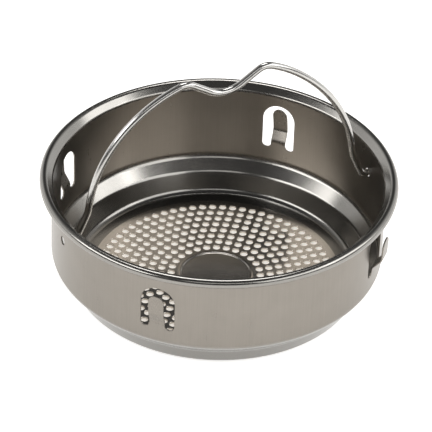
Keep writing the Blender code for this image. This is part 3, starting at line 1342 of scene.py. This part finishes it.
@dataclass
class Handle:
    """The bent wire handle, upright, whose two ends turn in the wall's holes.

    Attributes:
        reach: How far its ends stand from the middle.
        pivot_height: Height of its pivots.
        wire: Radius of the wire.
        wall_inner: Radius of the wall's inner face.
        play: How far it has slid along its pivots.
        hump_lift: How much higher the hump on the right was bent than the other.
        lift_centre: How far from the middle that lift is greatest.
        lift_width: How far on either side it fades.
    """

    reach: float
    pivot_height: float
    wire: float
    wall_inner: float
    inset: float = 6.7 * MM
    arc_rise: float = 5.3 * MM
    leg_angle: float = 8.0
    shoulder_angle: float = 70.0
    hump_spacing: float = 12.6 * MM
    hump_slope: float = 32.0
    hump_radius: float = 5.0 * MM
    dip_radius: float = 10.0 * MM
    ankle_drop: float = 3.2 * MM
    ankle_radius: float = 12.0 * MM
    foot_lean: float = 24.0
    foot_radius: float = 2.0 * MM
    end_round: float = 0.35 * MM
    play: float = 1.0 * MM
    hump_lift: float = 1.1 * MM
    lift_centre: float = 15.0 * MM
    lift_width: float = 14.0 * MM

    END_ANGLES = (0.0, 30.0, 60.0, 90.0)
    SIDES = 24
    SHARP_ANGLE = 50.0

    def half_line(self) -> list[tuple[Vector, float]]:
        """Return corners and radii of one half, from the dip in the middle to the end.

        Returns:
            The corners in order, each with the radius that rounds it.
        """
        radius = self.wall_inner - self.inset
        low, high = math.radians(self.leg_angle), math.radians(self.shoulder_angle)
        centre = Vector((0.0, self.arc_rise))
        shoulder = centre + radius * Vector((math.cos(high), math.sin(high)))
        leg = centre + radius * Vector((math.cos(low), math.sin(low)))
        onward = Vector((-math.sin(high), math.cos(high)))
        corner = shoulder - onward * radius * math.tan((high - low) / 2)
        hump = shoulder + onward * (shoulder.x - self.hump_spacing) / math.sin(high)
        dip = Vector((0.0, hump.y - hump.x * math.tan(math.radians(self.hump_slope))))
        ankle = leg + self.ankle_drop * Vector((math.sin(low), -math.cos(low)))
        foot = Vector((ankle.x + ankle.y * math.tan(math.radians(self.foot_lean)), 0.0))
        return [
            (dip, self.dip_radius),
            (hump, self.hump_radius),
            (corner, radius),
            (ankle, self.ankle_radius),
            (foot, self.foot_radius),
            (Vector((self.reach, 0.0)), 0.0),
        ]

    def build(self, material: Material) -> Piece:
        """Bend the wire.

        Args:
            material: Its material.

        Returns:
            The piece.
        """
        half = self.half_line()
        mirrored = [(Vector((-point.x, point.y)), radius) for point, radius in half[:0:-1]]
        points, _ = Bend(arc_step=3.0, run_step=1.5 * MM).through(mirrored + half)
        curve = bpy.data.curves.new("handle_line", "CURVE")
        curve.dimensions = "3D"
        spline = curve.splines.new("POLY")
        spots = self._rounded_ends(points)
        spline.points.add(len(spots) - 1)
        for point, (x, z, share) in zip(spline.points, spots):
            lift = self.hump_lift * math.exp(-(((x - self.lift_centre) / self.lift_width) ** 2))
            point.co = (x + self.play, 0.0, self.pivot_height + z + lift, 1.0)
            point.radius = share
        recipe = Recipe("bent_wire", {"Wire Radius": self.wire, "Sides": self.SIDES}, material)
        ring = recipe.circle(recipe["Sides"], recipe["Wire Radius"])
        sweep = {"Curve": recipe["Geometry"], "Profile Curve": ring, "Fill Caps": True}
        recipe.serve(recipe.add("GeometryNodeCurveToMesh", inputs=sweep))
        handle = recipe.make(link("handle_line", curve), "handle_wire")
        return smooth_by_angle(handle, self.SHARP_ANGLE)

    def _rounded_ends(self, points: np.ndarray) -> list[tuple[float, float, float]]:
        """Return (x, z, share of the wire's radius), with both ends rounded over.

        Args:
            points: Points of the whole line, before its ends are rounded.

        Returns:
            One entry for each point.
        """
        start = self.reach - self.end_round
        inner = [(float(x), float(z), 1.0) for x, z in points[1:-1] if abs(x) < start]
        right = []
        for angle in map(math.radians, self.END_ANGLES):
            share = 1 - self.end_round / self.wire * (1 - math.cos(angle))
            right.append((start + self.end_round * math.sin(angle), 0.0, share))
        left = [(-x, z, share) for x, z, share in reversed(right)]
        return left + inner + right


# --- Studio ---


@dataclass(frozen=True)
class SoftBox:
    """A soft light that faces the object.

    Attributes:
        name: Name of the light.
        azimuth: Where it stands, in degrees from the camera's right, anticlockwise from above.
        elevation: How high, in degrees.
        distance: How far from the object.
        width: Width of its face.
        height: Height of its face.
        power: Power in watts.
    """

    name: str
    azimuth: float
    elevation: float
    distance: float
    width: float
    height: float
    power: float

    def build(self, target: Vector, turn: float) -> None:
        """Hang the light.

        Args:
            target: The point that it faces.
            turn: The camera's azimuth, which the light's own is added to.
        """
        light = bpy.data.lights.new(self.name, "AREA")
        light.shape = "RECTANGLE"
        light.size = self.width
        light.size_y = self.height
        light.energy = self.power
        lamp = link(self.name, light)
        azimuth, elevation = math.radians(self.azimuth) + turn, math.radians(self.elevation)
        level = math.cos(elevation)
        back = Vector((math.cos(azimuth) * level, math.sin(azimuth) * level, math.sin(elevation)))
        lamp.location = target + back * self.distance
        lamp.rotation_euler = (-back).to_track_quat("-Z", "Y").to_euler()
        lamp.visible_camera = False


@dataclass
class Studio:
    """A pale floor, soft lights, a dark surround with a pale backdrop, and the camera.

    Attributes:
        rim_height: Height of the rim, which the lights face and the camera stands above.
        camera_distance: Level distance from the axis to the camera.
        camera_height: Height of the camera above the rim.
        camera_azimuth: Turn of the camera about the axis, in degrees, as pitch, yaw and roll are.
        pitch: How far the camera looks down.
        lens: Focal length in millimetres.
        floor_glow: Light that the floor gives off in the open, and shade_glow under the strainer.
        shade_radius: How far out the shade reaches before it fades.
        surround: Light of the room.
        backdrop: Light of the backdrop.
    """

    rim_height: float
    camera_distance: float = 838.99 * MM
    camera_height: float = 586.02 * MM
    camera_azimuth: float = -24.4
    pitch: float = 35.6345
    yaw: float = -0.0383
    roll: float = 2.0728
    lens: float = 278.77
    floor_colour: Colour = (0.80, 0.79, 0.77)
    floor_glow: Colour = (0.72, 0.715, 0.71)
    shade_glow: Colour = (0.36, 0.32, 0.27)
    shade_radius: float = 38.0 * MM
    shade_fade: float = 6.0 * MM
    surround: Colour = (0.08, 0.08, 0.08)
    backdrop: Colour = (1.1, 1.1, 1.1)
    lights: tuple[SoftBox, ...] = (
        SoftBox("top_box", 95.0, 66.0, 1.1, 0.5, 0.4, 3.2),
        SoftBox("right_front_box", -38.0, 32.0, 0.9, 0.75, 0.5, 2.7),
        SoftBox("left_front_box", -158.0, 32.0, 0.9, 0.8, 0.3, 3.2),
        SoftBox("right_box", 0.0, 35.0, 0.9, 0.5, 0.4, 1.8),
        SoftBox("fill_box", -90.0, 40.0, 0.95, 0.5, 0.2, 0.45),
    )

    FLOOR_ROUGHNESS = 0.7
    FLOOR_REACH = 6.0
    FLOOR_DROP = 0.02 * MM
    BEHIND = (-0.2, 0.3)
    ASIDE = (0.15, 0.6)
    HIGH = (0.3, 0.95)
    SENSOR_WIDTH = 36.0
    FAR = 20.0

    def build(self) -> None:
        """Set the stage."""
        self._floor()
        self._surround()
        self._camera()
        for light in self.lights:
            light.build(Vector((0.0, 0.0, self.rim_height)), math.radians(self.camera_azimuth))

    def _floor(self) -> None:
        """Lay the pale floor, which glows like a light table except under the strainer."""
        material = bpy.data.materials.new("pale_floor")
        material.use_nodes = True
        tree = Tree(material.node_tree)
        shader = material.node_tree.nodes["Principled BSDF"]
        shader.inputs["Base Color"].default_value = (*self.floor_colour, 1.0)
        shader.inputs["Roughness"].default_value = self.FLOOR_ROUGHNESS
        shader.inputs["Emission Strength"].default_value = 1.0
        place = Steel.round_place(tree, tree.add("ShaderNodeTexCoord", output="Object"))
        beyond = tree.axis(place, "X").ease(self.shade_radius, self.shade_radius + self.shade_fade)
        glow = tree.mix(beyond, self.shade_glow, self.floor_glow)
        material.node_tree.links.new(glow.socket, shader.inputs["Emission Color"])
        reach = self.FLOOR_REACH
        corners = [(x * reach, y * reach, 0.0) for x, y in ((-1, -1), (1, -1), (1, 1), (-1, 1))]
        mesh = bpy.data.meshes.new("floor")
        mesh.from_pydata(corners, [], [(0, 1, 2, 3)])
        mesh.materials.append(material)
        floor = link("stage_floor", mesh)
        floor.location.z = -self.FLOOR_DROP

    def _surround(self) -> None:
        """Make the room dark, with a pale backdrop low on both sides."""
        world = bpy.data.worlds.new("studio")
        bpy.context.scene.world = world
        world.use_nodes = True
        tree = Tree(world.node_tree)
        way = tree.add("ShaderNodeTexCoord", output="Generated")
        x, y, z = (tree.axis(way, name) for name in "XYZ")
        turn = math.radians(self.camera_azimuth)
        behind = (y * math.cos(turn) - x * math.sin(turn)).ease(*self.BEHIND)
        aside = (x * math.cos(turn) + y * math.sin(turn)).math("ABSOLUTE").ease(*self.ASIDE)
        low = 1.0 - z.ease(*self.HIGH)
        colour = tree.mix(behind * aside * low, self.surround, self.backdrop)
        background = world.node_tree.nodes["Background"]
        world.node_tree.links.new(colour.socket, background.inputs["Color"])
        background.inputs["Strength"].default_value = 1.0
        bpy.context.scene.view_settings.view_transform = "Standard"

    def _camera(self) -> None:
        """Stand the camera."""
        camera = bpy.data.cameras.new("camera")
        camera.lens = self.lens
        camera.sensor_width = self.SENSOR_WIDTH
        camera.clip_end = self.FAR
        azimuth = math.radians(self.camera_azimuth)
        back = Vector((math.sin(azimuth), -math.cos(azimuth), 0.0))
        up = Vector((0.0, 0.0, self.rim_height + self.camera_height))
        heading = Matrix.Rotation(azimuth - math.radians(self.yaw), 4, "Z")
        tilt = Matrix.Rotation(math.radians(90.0 - self.pitch), 4, "X")
        spin = Matrix.Rotation(math.radians(self.roll), 4, "Z")
        stand = link("camera", camera)
        stand.matrix_world = Matrix.Translation(back * self.camera_distance + up) @ heading @ tilt @ spin
        bpy.context.scene.camera = stand


# --- The strainer ---


class Strainer:
    """The whole strainer: its pieces, what they ride on and the finishes that they wear."""

    SATIN = (0.265, 0.244, 0.217)
    TONGUE_STEEL = Steel("tongue_steel", SATIN, 0.28, Grain.UPRIGHT)
    FLOOR_STEEL = Steel("floor_steel", (0.50, 0.47, 0.43), 0.15, Grain.TURNED)
    WIRE_STEEL = Steel("wire_steel", (0.52, 0.51, 0.49), 0.20)
    ROOT_START = 0.1 * MM
    ROOT_LENGTH = 2.4 * MM
    WINDOW_FITS = (
        WindowFit(turn=-0.66, growth=0.4 * MM, give=-0.5 * MM, lean=0.9 * MM),
        WindowFit(rise=0.5 * MM, growth=-1.0 * MM, give=-0.6 * MM, reach=-0.6 * MM),
        WindowFit(turn=1.25, rise=-0.75 * MM, growth=-1.1 * MM, give=-1.4 * MM, reach=-0.4 * MM),
        WindowFit(turn=1.2, rise=0.3 * MM, growth=-0.3 * MM, give=0.4 * MM),
    )

    def __init__(self, frame: Mapping[str, Any]) -> None:
        """Take the sizes that the frame gives.

        Args:
            frame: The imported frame's own description.
        """
        _, body_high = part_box("basket_body")
        _, panel_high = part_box("perforated_floor")
        _, handle_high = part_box("bail_handle")
        joints = {joint["name"]: joint for joint in frame["joints"]}
        pivot = joints["handle_swing"]["pos_m"][2]
        self.tongue_joints = sorted(name for name in joints if name.startswith("tongue"))
        self.azimuths = [
            math.atan2(joints[name]["pos_m"][1], joints[name]["pos_m"][0]) for name in self.tongue_joints
        ]
        self.basket = Basket(
            rim_radius=body_high.x,
            height=body_high.z,
            sheet=panel_high.z,
            panel_radius=panel_high.x,
            pivot_height=pivot,
            root_height=joints[self.tongue_joints[0]]["pos_m"][2],
        )
        self.floor = FloorPanel(radius=self.basket.panel_radius, sheet=self.basket.sheet)
        self.handle = Handle(
            reach=handle_high.x,
            pivot_height=pivot,
            wire=handle_high.y,
            wall_inner=self.basket.wall_middle - self.basket.sheet / 2,
        )

    def build(self) -> None:
        """Build and dress every piece, and mount all but the tongues on their bodies."""
        basket = self.basket
        drawn = DrawnSteel(
            "drawn_steel", self.SATIN, 0.29, Grain.UPRIGHT,
            wall_foot=basket.step_top, wall_head=basket.wall_top,
        )
        shell = basket.build(self.azimuths, self.WINDOW_FITS, drawn.material())
        self.mount(shell, "basket", "satin_steel", "basket_body")
        panel = self.floor.build(self.FLOOR_STEEL.material())
        self.mount(panel, "basket", "polished_steel", "perforated_floor")
        wire = self.handle.build(self.WIRE_STEEL.material())
        self.mount(wire, "handle", "bright_wire", "bail_handle")
        steel = self.TONGUE_STEEL.material()
        for number, (azimuth, fit) in enumerate(zip(self.azimuths, self.WINDOW_FITS), start=1):
            self.mount_tongue(number, azimuth + math.radians(fit.turn), fit, steel)

    def mount_tongue(self, number: int, azimuth: float, fit: WindowFit, material: Material) -> None:
        """Build one tongue, in place of the frame's own tongue, which is hidden.

        Args:
            number: Number of the tongue.
            azimuth: Where it stands, in radians.
            fit: How it strays from the pattern.
            material: Its material.
        """
        piece = Tongue(self.basket, azimuth, fit).build(f"tongue_{number}", material)
        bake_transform(piece)
        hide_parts(f"spring_tongue_{number}")
        log.info("%s: %d points", piece.name, len(piece.data.vertices))

    @staticmethod
    def mount(piece: Piece, body: str, slot: str, node: str) -> None:
        """Let a piece ride on a body in place of a node.

        Args:
            piece: The piece.
            body: The body that carries it.
            slot: Name of a material slot; not used.
            node: The node that it replaces.
        """
        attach(piece, body)
        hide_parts(node)
        log.info("%s: %d points", piece.name, len(piece.data.vertices))


def main() -> None:
    """Build the strainer and its studio."""
    logging.basicConfig(level=logging.INFO, format="%(name)s: %(message)s")
    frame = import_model()
    Strainer(frame).build()
    Studio(rim_height=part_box("basket_body")[1].z).build()


if __name__ == "__main__":
    main()
